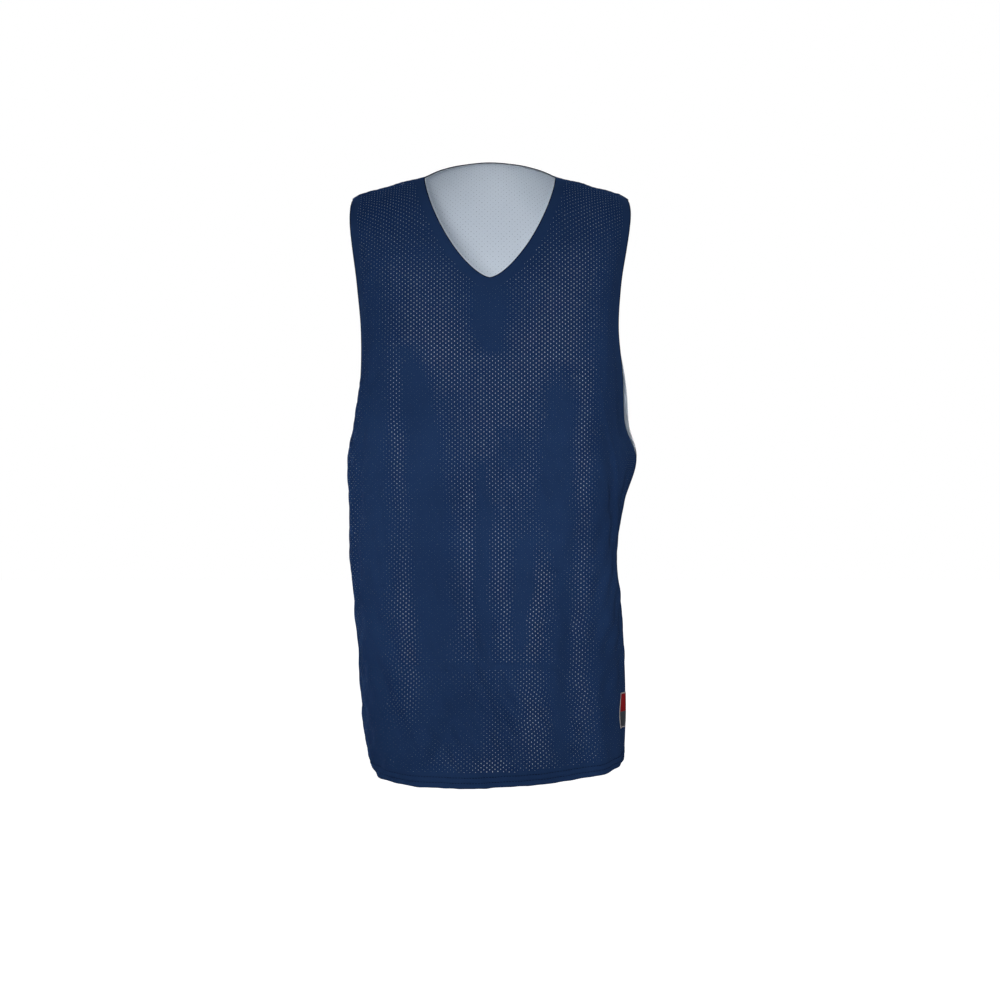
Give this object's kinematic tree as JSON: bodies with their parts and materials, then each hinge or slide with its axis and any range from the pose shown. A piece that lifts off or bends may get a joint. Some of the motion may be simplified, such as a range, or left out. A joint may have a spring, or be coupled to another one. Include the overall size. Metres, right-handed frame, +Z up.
{
  "type": "basketball jersey",
  "caption": "Reversible sleeveless basketball jersey of mesh, navy outside and white inside, with a V neck, deep armholes and a rounded shirttail hem, hollow as when worn.",
  "frame": {"origin": "midway between the two neck points, at the height where the shoulder straps rest on the wearer", "axes": "+Z up, +X towards the wearer's left side, -Y towards the front of the jersey"},
  "size_m": [0.3804, 0.2261, 0.824],
  "materials": {
    "navy_mesh": "satin",
    "white_mesh": "satin",
    "woven_label": "matte"
  },
  "bodies": {
    "root": {"front_outer": "navy_mesh", "back_outer": "navy_mesh", "front_inner": "white_mesh", "back_inner": "white_mesh", "hem_front": "navy_mesh", "hem_back": "navy_mesh", "side_label": "woven_label"}
  },
  "joints": []
}
